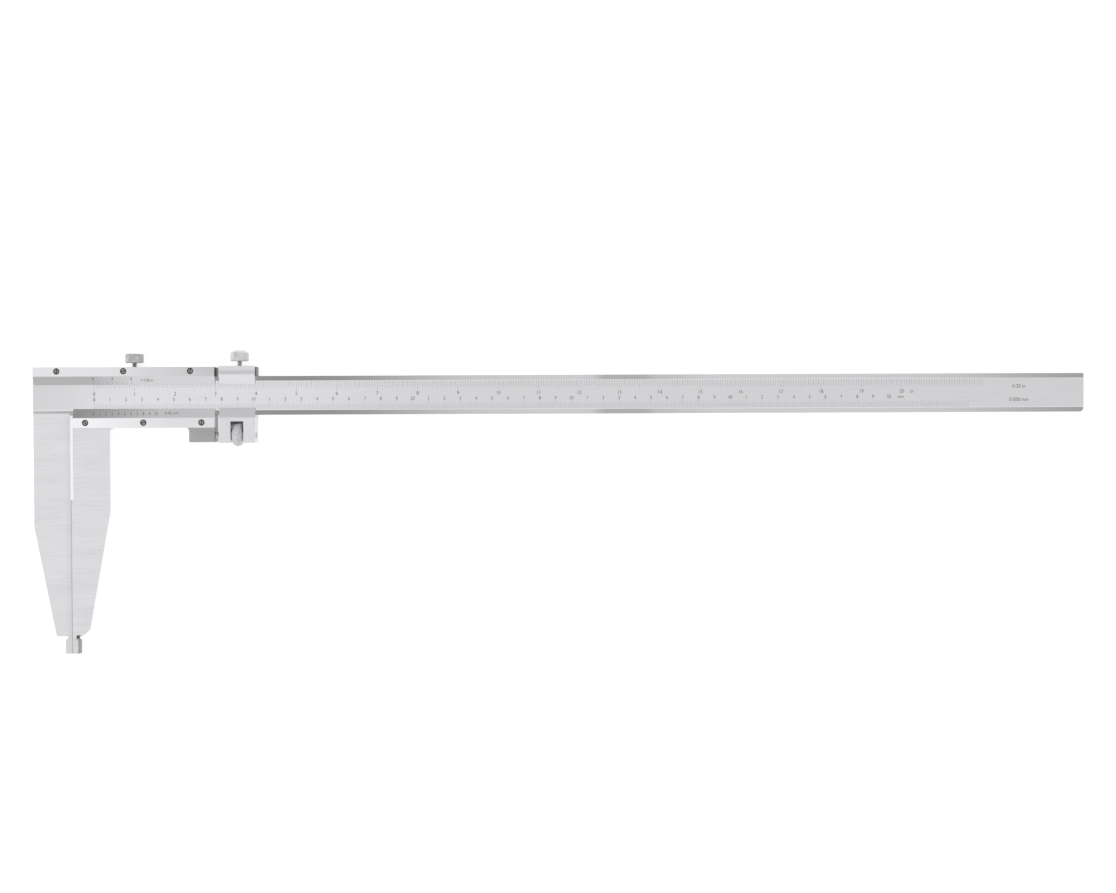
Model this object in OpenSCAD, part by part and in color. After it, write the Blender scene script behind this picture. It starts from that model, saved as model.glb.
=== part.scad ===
// Long vernier caliper with nib-style jaws and a fine-adjustment carriage.
// The tool lies flat on its back: X runs along the beam, Y across it (the jaws reach towards -Y)
// and Z points out of the graduated front. Every sub-part is drawn from the corner where the
// outside measuring plane (X = 0) meets the beam's lower edge (Y = 0); placed() then moves it so
// that the origin is under the middle of the whole tool, on the surface that it rests on.

/* [Beam] */
// Whole length of the beam, from the back of the fixed jaw to the free end
beam_len = 661.4; // [560:0.1:900]
// Height of the beam between its two guide edges
beam_h = 24.5; // [20:0.5:32]
// Thickness of the beam and of both jaws
beam_t = 6; // [4.5:0.1:8]
// Width of the bevelled band along each long edge
band_w = 3; // [2:0.1:3.6]
// How far each band falls from the face to the edge
band_drop = 0.5; // [0.2:0.05:0.8]
// Corner chamfer at the free end
end_chamfer = 1.5; // [0.5:0.1:3]

/* [Jaws] */
// Reach of the jaws below the beam, nibs included
jaw_len = 150; // [120:1:200]
// Width of the fixed jaw, from its back to the measuring plane
fixed_jaw_w = 23.5; // [20:0.1:30]
// Width of the sliding jaw
moving_jaw_w = 24.6; // [20:0.1:30]
// Length of the relieved stretch between the beam and the measuring faces
relief_len = 53.4; // [40:0.2:60]
// Depth of the relief on the fixed jaw
fixed_relief = 0.5; // [0.2:0.1:1.5]
// Depth of the relief on the sliding jaw
moving_relief = 1.3; // [0.5:0.1:2]
// Width over both closed nibs
nib_w = 10; // [8:0.5:12]
// Length of the round inside-measuring nibs
nib_len = 8.7; // [6:0.1:12]
// Length of the undercut above the nibs
neck_len = 2.3; // [1.5:0.1:3]
// Depth of that undercut
neck_depth = 1.2; // [0.6:0.1:1.6]

/* [Slider] */
// Length of the upper rail, which reaches over the fixed jaw
slider_len = 113.8; // [100:0.1:130]
// Height of the upper rail above the beam
rail_h = 5.8; // [4.8:0.1:8]
// Height of the lower rail below the beam
lower_rail_h = 7.9; // [6.5:0.1:10]
// Thickness of the web behind the beam
web_t = 2.85; // [2:0.05:4]
// Thickness of the vernier plates
plate_t = 2.75; // [2:0.05:3.5]
// Thickness left at the thin edge of each vernier plate
plate_edge_t = 0.3; // [0.2:0.05:0.5]
// How far the upper vernier plate reaches over the beam
upper_bevel = 5.2; // [4:0.1:7]
// How far the lower vernier plate reaches over the beam
lower_reach = 4.1; // [2:0.1:5]
// Width of the bevel on the lower vernier plate
lower_bevel = 5.7; // [4:0.1:7]

/* [Fine adjustment] */
// Length of the carriage along the beam
carriage_len = 22.65; // [20:0.05:28]
// Gap between the slider and the carriage
carriage_gap = 2.6; // [2.6:0.1:5]
// Height of the carriage above the beam
carriage_top = 6.3; // [5.5:0.1:8]
// Reach of the carriage below the beam
carriage_drop = 17.5; // [16:0.1:22]
// Thickness of the carriage from its back to its front
carriage_t = 12; // [11.8:0.1:14]
// Length of the window that holds the adjusting nut
window_len = 8; // [7:0.1:10]
// Diameter of the adjusting nut
nut_d = 14.4; // [12:0.1:14.6]
// Width of the nut's rim; its hub fills the window
nut_rim_w = 6.4; // [4:0.1:7]
// Radius of the nut's crown, across its rim
nut_crown = 3.6; // [3.5:0.1:7]
// Diameter of the adjusting rod
rod_d = 4; // [3:0.1:5]
// Distance of the adjusting rod's axis below the beam
rod_drop = 12.6; // [12.2:0.1:13.2]

/* [Clamp screws] */
// Diameter of both clamp screw stems
stem_d = 3; // [2.5:0.1:3.4]
// Diameter of the slider's knob
slider_knob_d = 11.3; // [9:0.1:11.6]
// Height of the slider's knob
slider_knob_h = 5.8; // [4:0.1:8]
// Diameter of the carriage's knob
carriage_knob_d = 11.4; // [9:0.1:11.6]
// Height of the carriage's knob at its rim
carriage_knob_h = 5.6; // [4:0.1:8]
// Height of the dome on the carriage's knob
knob_dome = 1.8; // [0.8:0.1:2.5]

/* [Hidden] */
$fn = 64;

// Clearances: a sliding face, a turning stem, a part seated in its own hole, closed jaws.
slide_gap = 0.05;
turn_gap = 0.05;
seat_gap = 0.02;
jaw_gap = 0.01;
// Extra length that lets a cutter run clear of the face it cuts.
over = 1;

// Colours of ground steel, of the duller plates and of the screws.
steel = [0.80, 0.80, 0.81];
plate_steel = [0.86, 0.86, 0.87];
dull_steel = [0.68, 0.68, 0.69];
screw_steel = [0.48, 0.48, 0.50];

// Levels of the beam's two faces, of its middle and of the two rails' front faces.
beam_z0 = web_t + slide_gap;
beam_z1 = beam_z0 + beam_t;
beam_mid_z = (beam_z0 + beam_z1) / 2;
rail_z1 = beam_z1 + slide_gap;
plate_z1 = rail_z1 + plate_t;

// Ends of the beam.
beam_x0 = -fixed_jaw_w;
beam_x1 = beam_x0 + beam_len;

// The half lap that holds the fixed jaw behind the beam's left end.
lap_y1 = beam_h - 4.5;
lap_x1 = -2;
lap_z1 = beam_mid_z - seat_gap;
seam_y = 1.5;
jaw_face_drop = 0.3;
dowel_d = 4;
dowel_h = 5;
dowel_inset = 5.5;

// Heights where the jaws begin to taper and where the tapers end.
neck_y = neck_len + nib_len - jaw_len;
fixed_taper_y = -0.467 * jaw_len;
fixed_taper_w = 13.5;
moving_taper_y = -0.4 * jaw_len;
moving_taper_w = 13.4;
moving_toe_y = neck_y + 4.5;
moving_toe_w = 5.3;
jaw_fillet = 2.7;
plate_corner = 1.2;

// The slider's ends. A bent tab of the gib spring covers each end of the upper rail.
gib_t = 0.5;
gib_tab = 0.55;
slider_x0 = beam_x0 + gib_tab + 0.2;
slider_x1 = slider_x0 + slider_len;
lower_x0 = moving_relief + jaw_gap;
rail_y1 = beam_h + rail_h;
web_step = 3;

// The channel for the gib springs, between the beam's upper edge and each upper rail.
channel_h = 1;
gib_lift = 0.06;
gib_bow = 0.34;
gib_z0 = beam_mid_z - 0.45 * beam_t;
gib_w = 0.9 * beam_t;
gib_steps = 24;
gib_tab_z0 = 0.4;

// The lug that holds the adjusting rod.
lug_len = 16.15;
lug_y0 = -17;
lug_z1 = plate_z1 - 0.3;
lug_x0 = slider_x1 - lug_len;
lug_corner = 0.8;
lug_fillet = 2.1;

// The carriage.
carriage_x0 = slider_x1 + carriage_gap;
carriage_x1 = carriage_x0 + carriage_len;
carriage_y1 = beam_h + carriage_top;
carriage_flat = 6;
carriage_lip = 5.1;
carriage_lower_reach = 4.5;
carriage_lower_bevel = 5.9;

// The adjusting rod and its nut. The nut clears the surface that the tool rests on.
rod_z = nut_d / 2 + 0.2;
window_x0 = carriage_x0 + 7.35;
window_y1 = -4;
window_back_y1 = -9.5;
nut_gap = 0.1;
nut_w = window_len - 2 * nut_gap;
nut_hub_r = 3.4;
crown_steps = 6;
rod_x0 = lug_x0 + 1.5;
rod_x1 = carriage_x1 - 0.8;
lock_d = 3;

// Plate screws: three along each plate.
plate_screw_d = 2.5;
plate_screw_head_d = 3.9;
plate_screw_head_h = 1.1;
plate_screw_depth = 4;
slot_w = 0.7;
slot_depth = 0.6;
upper_screw_x = [for (i = [0:2]) -7.8 + 41.85 * i];
upper_screw_y = beam_h + 0.56 * rail_h;
lower_screw_x = [for (i = [0:2]) 9.9 + 36.45 * i];
lower_screw_y = -4.6;
upper_slot_turns = [88, 20, 65];
lower_slot_turns = [-45, 4, 82];

// Clamp screws: place along the beam and underside of the head.
slider_clamp_x = 39.85;
carriage_clamp_x = (carriage_x0 + carriage_x1) / 2 + 1;
slider_knob_y = rail_y1 + 2.65;
carriage_knob_y = carriage_y1 + 2.85;
knob_chamfer = 0.5;

// Middle of the whole tool.
mid_x = (beam_x0 + beam_x1) / 2;
mid_y = (carriage_knob_y + carriage_knob_h + knob_dome - jaw_len) / 2;

// Height of the gib strip's underside above the beam's edge, at a share t of its length.
// Two shallow waves touch the beam's side of the channel at both ends and in the middle.
function gib_rise(t) = gib_lift + gib_bow * (1 - cos(720 * t)) / 2;

// Moves the drawing corner to the middle of the whole tool.
module placed() {
    translate([-mid_x, -mid_y, 0]) children();
}

// Extrudes a section drawn as (Y, Z) along X.
module along_x(x0, x1) {
    translate([x0, 0, 0]) rotate([90, 0, 90]) linear_extrude(x1 - x0) children();
}

// A box from its lowest corner to its highest one.
module block(low, high) {
    translate(low) cube(high - low);
}

// A cylinder along +Y.
module rod_y(x, y0, y1, z, d) {
    translate([x, y0, z]) rotate([-90, 0, 0]) cylinder(h = y1 - y0, d = d);
}

// A cylinder along +X.
module rod_x(x0, x1, y, z, d) {
    translate([x0, y, z]) rotate([0, 90, 0]) cylinder(h = x1 - x0, d = d);
}

// The beam's section: a flat face and a bevelled band along each edge, the same on both sides.
module beam_section() {
    polygon([
        [0, beam_z0 + band_drop],
        [band_w, beam_z0],
        [beam_h - band_w, beam_z0],
        [beam_h, beam_z0 + band_drop],
        [beam_h, beam_z1 - band_drop],
        [beam_h - band_w, beam_z1],
        [band_w, beam_z1],
        [0, beam_z1 - band_drop]
    ]);
}

// Places one dowel at each corner of the half lap.
module at_dowels() {
    for (x = [beam_x0 + dowel_inset, lap_x1 - dowel_inset + 1])
        for (y = [band_w + 3.5, lap_y1 - 3.5])
            translate([x, y, beam_z0]) children();
}

module beam() {
    color(steel) placed() difference() {
        along_x(beam_x0, beam_x1) beam_section();
        block([beam_x0 - over, -over, 0], [0, seam_y, beam_z1 + over]);
        block([beam_x0 - over, 0, 0], [lap_x1 + seat_gap, lap_y1 + seat_gap, beam_mid_z]);
        at_dowels() cylinder(h = dowel_h + seat_gap, d = dowel_d + 2 * seat_gap);
        translate([beam_x1, 0, 0]) rotate([0, 0, 45])
            cube([end_chamfer * sqrt(2), end_chamfer * sqrt(2), 4 * beam_t], center = true);
    }
}

// Half of the round nib and of its undercut; side is -1 for the fixed jaw and 1 for the other.
module nib(side) {
    half_x = (side + 1) / 2;
    intersection() {
        union() {
            rod_y(0, -jaw_len, neck_y - neck_len, beam_mid_z, nib_w);
            rod_y(0, neck_y - neck_len - 0.5, neck_y + 0.5, beam_mid_z, nib_w - 2 * neck_depth);
        }
        block(
            [(half_x - 1) * nib_w + half_x * jaw_gap, -jaw_len, beam_z0],
            [half_x * nib_w, neck_y + 0.5, beam_z1 - (1 - half_x) * jaw_face_drop]
        );
    }
}

module fixed_jaw() {
    color(steel) placed() difference() {
        union() {
            translate([0, 0, beam_z0]) linear_extrude(beam_t - jaw_face_drop) polygon([
                [beam_x0, seam_y - seat_gap],
                [beam_x0, fixed_taper_y],
                [beam_x0 + fixed_taper_w, neck_y],
                [0, neck_y],
                [0, -relief_len],
                [-fixed_relief, -relief_len],
                [-fixed_relief, 0],
                [-seat_gap, 0],
                [-seat_gap, seam_y - seat_gap]
            ]);
            block([beam_x0, 0, beam_z0], [lap_x1, lap_y1, lap_z1]);
            nib(-1);
        }
        at_dowels() cylinder(h = dowel_h + seat_gap, d = dowel_d + 2 * seat_gap);
    }
}

module jaw_dowels() {
    color(dull_steel) placed() at_dowels() cylinder(h = dowel_h, d = dowel_d);
}

// Outline of the sliding jaw, seen from the front.
module moving_jaw_outline() {
    right = lower_x0 - moving_relief + moving_jaw_w;
    top = -lower_rail_h;
    polygon([
        [lower_x0, top + over],
        [lower_x0, -relief_len],
        [jaw_gap, -relief_len],
        [jaw_gap, neck_y],
        [moving_toe_w + 0.6, neck_y],
        [right - moving_taper_w, moving_toe_y],
        [right, moving_taper_y],
        [right, top + over]
    ]);
    difference() {
        translate([right - over, top - jaw_fillet]) square([jaw_fillet + over, jaw_fillet + over]);
        translate([right + jaw_fillet, top - jaw_fillet]) circle(r = jaw_fillet);
    }
}

// Outline of the lug: a fillet where it leaves the rail, and a rounded lower corner.
module lug_outline() {
    difference() {
        translate([lug_x0 - lug_fillet, lug_y0])
            square([lug_len + lug_fillet, -lower_rail_h - lug_y0]);
        translate([lug_x0 - lug_fillet, -lower_rail_h - lug_fillet]) circle(r = lug_fillet);
        translate([lug_x0 - lug_fillet - over, lug_y0 - over])
            square([lug_fillet + over, -lower_rail_h - lug_y0 - lug_fillet + over]);
        difference() {
            translate([lug_x0, lug_y0]) square([2 * lug_corner, 2 * lug_corner], center = true);
            translate([lug_x0 + lug_corner, lug_y0 + lug_corner]) circle(r = lug_corner);
        }
    }
}

// Holes for the screws of one plate.
module plate_screw_holes(xs, y) {
    for (x = xs) translate([x, y, rail_z1 - plate_screw_depth - seat_gap])
        cylinder(h = plate_screw_depth + over, d = plate_screw_d + 2 * seat_gap);
}

module slider_body() {
    color(steel) placed() difference() {
        union() {
            block([slider_x0, 0, 0], [slider_x1, rail_y1, web_t]);
            block([lower_x0, -web_step, 0], [slider_x1, over, web_t]);
            block([slider_x0, beam_h + channel_h, 0], [slider_x1, rail_y1, rail_z1]);
            block([lower_x0, -lower_rail_h, beam_z0], [slider_x1, -slide_gap, rail_z1]);
            block([lower_x0, -web_step, 0], [slider_x1, -slide_gap, rail_z1]);
            translate([0, 0, beam_z0]) linear_extrude(beam_t) moving_jaw_outline();
            linear_extrude(lug_z1) lug_outline();
            block([lug_x0, -lower_rail_h - over, 0], [slider_x1, -slide_gap, rail_z1]);
            nib(1);
        }
        rod_y(slider_clamp_x, beam_h, rail_y1 + over, beam_mid_z, stem_d + 2 * turn_gap);
        rod_x(rod_x0 - seat_gap, slider_x1 + over, -rod_drop, rod_z, rod_d + 2 * seat_gap);
        rod_y(lug_x0 + lug_len / 2, lug_y0 - over, -rod_drop, rod_z, lock_d + 2 * seat_gap);
        plate_screw_holes(upper_screw_x, upper_screw_y);
        plate_screw_holes(lower_screw_x, lower_screw_y);
    }
}

// A countersunk screw with its head at Z = 0; grow widens it into the hole that takes it.
module plate_screw(grow) {
    translate([0, 0, -plate_screw_head_h])
        cylinder(h = plate_screw_head_h, d1 = plate_screw_d + 2 * grow, d2 = plate_screw_head_d + 2 * grow);
    translate([0, 0, rail_z1 - plate_z1 - plate_screw_depth])
        cylinder(h = plate_t + plate_screw_depth, d = plate_screw_d + 2 * grow);
}

// The screws of one plate, each with its slot turned its own way.
module plate_screws(xs, y, turns) {
    for (i = [0:len(xs) - 1]) translate([xs[i], y, plate_z1]) difference() {
        plate_screw(0);
        rotate([0, 0, turns[i]])
            translate([0, 0, -slot_depth / 2 + over / 2])
                cube([2 * plate_screw_head_d, slot_w, slot_depth + over], center = true);
    }
}

// A vernier plate: flat where it is screwed down, bevelled where it meets the beam's scale.
// tip, crest and heel are the heights of its thin edge, of the bevel's top and of its outer edge.
module vernier_plate(x0, tip, crest, heel, xs, y) {
    difference() {
        along_x(x0, slider_x1) polygon([
            [tip, rail_z1],
            [tip, rail_z1 + plate_edge_t],
            [crest, plate_z1],
            [heel, plate_z1],
            [heel, rail_z1]
        ]);
        for (x = xs) translate([x, y, plate_z1]) plate_screw(seat_gap);
    }
}

module upper_vernier_plate() {
    color(plate_steel) placed()
        vernier_plate(slider_x0, beam_h - upper_bevel, beam_h, rail_y1, upper_screw_x, upper_screw_y);
}

module lower_vernier_plate() {
    // The plate starts a little short of the rail's end, and its lower left corner is rounded.
    plate_x0 = lower_x0 + 0.7;
    corner = [plate_x0, -lower_rail_h, rail_z1 - over];
    color(plate_steel) placed() difference() {
        vernier_plate(
            plate_x0, lower_reach, lower_reach - lower_bevel, -lower_rail_h,
            lower_screw_x, lower_screw_y
        );
        difference() {
            translate(corner) cube([2 * plate_corner, 2 * plate_corner, 4 * plate_t], center = true);
            translate(corner + [plate_corner, plate_corner, -4 * plate_t])
                cylinder(h = 8 * plate_t, r = plate_corner);
        }
    }
}

module upper_plate_screws() {
    color(screw_steel) placed() plate_screws(upper_screw_x, upper_screw_y, upper_slot_turns);
}

module lower_plate_screws() {
    color(screw_steel) placed() plate_screws(lower_screw_x, lower_screw_y, lower_slot_turns);
}

// A gib spring: a shallow wavy strip in the channel, with a tab bent up over each end of the rail.
module gib_spring(x0, x1, tab_top) {
    strip = x1 - x0;
    low = [for (i = [0:gib_steps]) [x0 + strip * i / gib_steps, beam_h + gib_rise(i / gib_steps)]];
    high = [for (i = [gib_steps:-1:0]) [low[i][0], low[i][1] + gib_t]];
    translate([0, 0, gib_z0]) linear_extrude(gib_w) {
        polygon(concat(low, high));
        for (x = [x0 - gib_tab, x1 - 0.05])
            translate([x, beam_h + gib_lift]) square([gib_tab + 0.05, gib_t]);
    }
    for (x = [x0 - gib_tab, x1 + gib_tab - gib_t])
        block([x, beam_h + gib_lift, gib_tab_z0], [x + gib_t, tab_top, gib_z0 + gib_w]);
}

module slider_gib_spring() {
    color(dull_steel) placed() gib_spring(slider_x0, slider_x1, rail_y1 - 0.6);
}

module carriage_gib_spring() {
    color(dull_steel) placed() gib_spring(carriage_x0, carriage_x1, carriage_y1 - 0.6);
}

// A clamp screw along Y: a stem that ends just above the crests of the gib strip, and a
// chamfered round head.
module clamp_screw(x, head_y, head_d, head_h) {
    tip_y = beam_h + gib_lift + gib_bow + gib_t + 0.05;
    rod_y(x, tip_y, head_y + over, beam_mid_z, stem_d);
    translate([x, head_y, beam_mid_z]) rotate([-90, 0, 0]) {
        cylinder(h = knob_chamfer, d1 = head_d - 2 * knob_chamfer, d2 = head_d);
        translate([0, 0, knob_chamfer]) cylinder(h = head_h - 2 * knob_chamfer, d = head_d);
        translate([0, 0, head_h - knob_chamfer])
            cylinder(h = knob_chamfer, d1 = head_d, d2 = head_d - 2 * knob_chamfer);
    }
}

module slider_clamp_screw() {
    color(dull_steel) placed()
        clamp_screw(slider_clamp_x, slider_knob_y, slider_knob_d, slider_knob_h);
}

module carriage_clamp_screw() {
    crown_r = carriage_knob_d / 2 - knob_chamfer;
    dome_r = (pow(crown_r, 2) + pow(knob_dome, 2)) / (2 * knob_dome);
    color(dull_steel) placed() {
        clamp_screw(carriage_clamp_x, carriage_knob_y, carriage_knob_d, carriage_knob_h);
        translate([carriage_clamp_x, carriage_knob_y + carriage_knob_h, beam_mid_z])
            rotate([-90, 0, 0]) intersection() {
                translate([0, 0, -0.2]) cylinder(h = knob_dome + over, r = crown_r);
                translate([0, 0, knob_dome - dome_r]) sphere(r = dome_r);
            }
    }
}

module adjusting_rod() {
    color(dull_steel) placed() rod_x(rod_x0, rod_x1, -rod_drop, rod_z, rod_d);
}

module rod_lock_screw() {
    lock_y0 = lug_y0 + 0.3;
    color(screw_steel) placed() difference() {
        rod_y(lug_x0 + lug_len / 2, lock_y0, -rod_drop - rod_d / 2 - 0.05, rod_z, lock_d);
        translate([lug_x0 + lug_len / 2, lock_y0, rod_z])
            cube([2 * lock_d, 2 * slot_depth, slot_w], center = true);
    }
}

// The carriage's section: closed behind the beam, with a bevelled lip over each edge of its face.
module carriage_section() {
    polygon([
        [-carriage_drop, 0],
        [carriage_y1, 0],
        [carriage_y1, carriage_t],
        [carriage_y1 - carriage_flat, carriage_t],
        [beam_h - carriage_lip, rail_z1 + plate_edge_t],
        [beam_h - carriage_lip, rail_z1],
        [beam_h + channel_h, rail_z1],
        [beam_h + channel_h, web_t],
        [-slide_gap, web_t],
        [-slide_gap, rail_z1],
        [carriage_lower_reach, rail_z1],
        [carriage_lower_reach, rail_z1 + plate_edge_t],
        [carriage_lower_reach - carriage_lower_bevel, carriage_t],
        [-carriage_drop, carriage_t]
    ]);
}

// The nut's window: open below, and closed behind the nut's upper part but for a round pocket.
module nut_window() {
    x1 = window_x0 + window_len;
    block([window_x0, -carriage_drop - over, -over], [x1, window_back_y1, carriage_t + over]);
    block([window_x0, window_back_y1 - over, web_t], [x1, window_y1, carriage_t + over]);
    rod_x(window_x0, x1, -rod_drop, rod_z, nut_d + 0.6);
}

module carriage_body() {
    color(steel) placed() difference() {
        along_x(carriage_x0, carriage_x1) carriage_section();
        nut_window();
        rod_x(carriage_x0 - over, carriage_x1 + over, -rod_drop, rod_z, rod_d + 2 * turn_gap);
        rod_y(carriage_clamp_x, beam_h, carriage_y1 + over, beam_mid_z, stem_d + 2 * turn_gap);
    }
}

// A crowned wheel: its rim follows an arc across its width, its narrower hub stands out on both
// sides, and it is drilled for the rod.
module adjusting_nut() {
    bore_r = rod_d / 2 + turn_gap;
    rim_turn = asin(nut_rim_w / (2 * nut_crown));
    rim = [
        for (i = [-crown_steps:crown_steps])
            [nut_d / 2 - nut_crown, 0]
                + nut_crown * [cos(rim_turn * i / crown_steps), sin(rim_turn * i / crown_steps)]
    ];
    color(dull_steel) placed() translate([window_x0 + window_len / 2, -rod_drop, rod_z])
        rotate([0, 90, 0]) rotate_extrude()
            polygon(concat(
                [[bore_r, -nut_w / 2], [nut_hub_r, -nut_w / 2], [nut_hub_r, -nut_rim_w / 2]],
                rim,
                [[nut_hub_r, nut_rim_w / 2], [nut_hub_r, nut_w / 2], [bore_r, nut_w / 2]]
            ));
}

beam();
fixed_jaw();
jaw_dowels();
slider_body();
upper_vernier_plate();
lower_vernier_plate();
upper_plate_screws();
lower_plate_screws();
slider_gib_spring();
slider_clamp_screw();
adjusting_rod();
rod_lock_screw();
carriage_body();
carriage_gib_spring();
carriage_clamp_screw();
adjusting_nut();
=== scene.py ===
from math import pi, radians
import bmesh
import bpy
import numpy as np
from mathutils import Matrix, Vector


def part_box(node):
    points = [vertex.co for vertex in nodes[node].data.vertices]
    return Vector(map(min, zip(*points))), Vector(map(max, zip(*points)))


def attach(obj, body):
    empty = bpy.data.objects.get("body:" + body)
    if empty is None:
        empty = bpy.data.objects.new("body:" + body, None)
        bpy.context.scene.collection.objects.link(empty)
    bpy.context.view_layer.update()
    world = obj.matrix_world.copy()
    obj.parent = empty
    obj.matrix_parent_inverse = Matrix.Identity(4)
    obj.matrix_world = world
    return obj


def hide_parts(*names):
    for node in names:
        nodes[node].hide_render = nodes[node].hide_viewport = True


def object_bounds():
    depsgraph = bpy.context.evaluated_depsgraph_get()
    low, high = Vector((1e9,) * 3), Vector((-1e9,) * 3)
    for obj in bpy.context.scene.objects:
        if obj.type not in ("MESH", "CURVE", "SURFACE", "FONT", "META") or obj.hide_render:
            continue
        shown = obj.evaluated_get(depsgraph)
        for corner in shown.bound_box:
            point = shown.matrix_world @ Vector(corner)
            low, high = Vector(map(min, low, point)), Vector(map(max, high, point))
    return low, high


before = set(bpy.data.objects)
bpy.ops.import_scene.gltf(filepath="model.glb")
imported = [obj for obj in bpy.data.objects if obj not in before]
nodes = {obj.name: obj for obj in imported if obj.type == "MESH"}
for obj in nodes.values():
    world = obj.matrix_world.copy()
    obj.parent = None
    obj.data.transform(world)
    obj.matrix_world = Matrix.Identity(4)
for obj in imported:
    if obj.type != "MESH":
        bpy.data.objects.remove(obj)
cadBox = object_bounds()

mm = 0.001  # every size below is in millimetres and is turned into metres with this
inch = 25.4
print("frame loaded:", len(nodes), "nodes")

# Places that several pieces share, all read from the frame.
beamLow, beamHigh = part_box("beam")
jawsLow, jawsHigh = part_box("fixed_jaw")
zeroPlaneX = jawsHigh.x  # the outside measuring plane
scaleZeroX = zeroPlaneX + 15 * mm  # where both scales start


# A socket that can be added, multiplied and so on: every operator adds one Math node.
class Sig:
    def __init__(self, kit, socket):
        self.kit = kit
        self.socket = socket

    def math(self, operation, *others):
        return self.kit.node("ShaderNodeMath", {"operation": operation}, [self, *others])

    def __add__(self, other):
        return self.math("ADD", other)

    def __radd__(self, other):
        return self.math("ADD", other)

    def __sub__(self, other):
        return self.math("SUBTRACT", other)

    def __rsub__(self, other):
        return self.kit.node("ShaderNodeMath", {"operation": "SUBTRACT"}, [other, self])

    def __mul__(self, other):
        return self.math("MULTIPLY", other)

    def __rmul__(self, other):
        return self.math("MULTIPLY", other)

    # 0 below low, 1 above high, straight in between
    def ramp(self, low, high):
        return self.kit.node("ShaderNodeMapRange", {}, {"Value": self, "From Min": low, "From Max": high})

    # 1 between low and high, with soft ends
    def between(self, low, high, soft):
        return self.ramp(low - soft, low + soft) * (1 - self.ramp(high - soft, high + soft))


# The nodes of one material, or of the world, and the one way of adding a node to them.
class MaterialKit:
    def __init__(self, owner):
        owner.use_nodes = True
        self.owner = owner
        self.tree = owner.node_tree

    # settings are set first, then each input takes a value or a link
    def node(self, kind, settings, inputs, output=0):
        made = self.tree.nodes.new(kind)
        for key, value in settings.items():
            setattr(made, key, value)
        pairs = inputs.items() if isinstance(inputs, dict) else enumerate(inputs)
        for key, value in pairs:
            self.put(made.inputs[key], value)
        return Sig(self, made.outputs[output])

    def put(self, socket, value):
        if isinstance(value, Sig):
            self.tree.links.new(value.socket, socket)
        else:
            socket.default_value = value

    # sets or links inputs of the shader and gives the finished material
    def set(self, **values):
        names = {"color": "Base Color", "roughness": "Roughness", "metallic": "Metallic",
                 "normal": "Normal", "emission": "Emission Color", "glow": "Emission Strength"}
        shader = self.tree.nodes["Principled BSDF"]
        for key, value in values.items():
            self.put(shader.inputs[names[key]], value)
        return self.owner

    def objectPoint(self):
        return self.node("ShaderNodeTexCoord", {}, {}, "Object")

    # noise on object coordinates; stretch is how many waves fit in a metre along X, Y and Z
    def grain(self, stretch, detail=3.0, shift=(0, 0, 0)):
        place = self.node("ShaderNodeMapping", {}, {
            "Vector": self.objectPoint(), "Scale": stretch, "Location": shift})
        return self.node("ShaderNodeTexNoise", {}, {
            "Vector": place, "Scale": 1.0, "Detail": detail, "Roughness": 0.6})

    def mix(self, factor, dark, light):
        return self.node("ShaderNodeMix", {"data_type": "RGBA"}, {0: factor, 6: dark, 7: light}, 2)


def grey(value):
    return (value, value, value, 1)


# The faintly cool grey of bright steel
def steel(value):
    return (value, value * 0.990, value * 1.012, 1)


# Ground or brushed steel. Long thin noise gives the grinding lines, broad noise the slight
# clouding, and short scratches cross both; all three move the colour, the roughness and the bump.
def steelMaterial(name, look):
    kit = MaterialKit(bpy.data.materials.new(name))
    lines = kit.grain(look["lines"], 4.0)
    fine = kit.grain([3.1 * n for n in look["lines"]], 2.0, (7, 3, 1))
    clouds = kit.grain(look["clouds"], 3.0, (2, 5, 9))
    scratch = kit.grain(look["scratches"], 1.0, (4, 8, 6)).ramp(0.66, 0.78)
    tone = lines * 0.5 + fine * 0.2 + clouds * 0.3
    grind = tone.ramp(0.3, 0.7)

    def steelTone(value, spread):
        return kit.mix(grind, steel(value * (1 - spread)), steel(value * (1 + spread)))
    color = steelTone(look["tone"], look["spread"])
    color = kit.mix(scratch * look["scratchDepth"], color, steel(look["tone"] * 0.72))
    rough = look["roughness"] + (tone - 0.5) * look["roughSpread"] + scratch * 0.05
    for patch in look.get("patches", []):
        mask = patchMask(kit, patch)
        color = kit.mix(mask, color, steelTone(patch["tone"], patch.get("spread", look["spread"])))
        rough = rough * (1 - mask) + (patch["roughness"] + (tone - 0.5) * patch["roughSpread"]) * mask
    bump = kit.node("ShaderNodeBump", {}, {
        "Strength": look["bump"], "Distance": 0.02 * mm, "Height": lines + fine * 0.6 - scratch * 0.8})
    return kit.set(color=color, roughness=rough, metallic=1.0, normal=bump)


# 1 inside a box on object coordinates, with sides as soft as each span says
def patchMask(kit, patch):
    apart = kit.node("ShaderNodeSeparateXYZ", {}, [kit.objectPoint()])
    mask = None
    for axis, (low, high, soft) in patch["spans"].items():
        side = Sig(kit, apart.socket.node.outputs[axis]).between(low, high, soft * mm)
        mask = side if mask is None else mask * side
    return mask


# One stretch of a piece with its own finish: spans give (low, high, softness in mm) for each axis
def stretch(finish, tone, **spans):
    return {**finish, "tone": tone, "spans": spans}


far = 1.0  # further out than any part reaches

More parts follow.
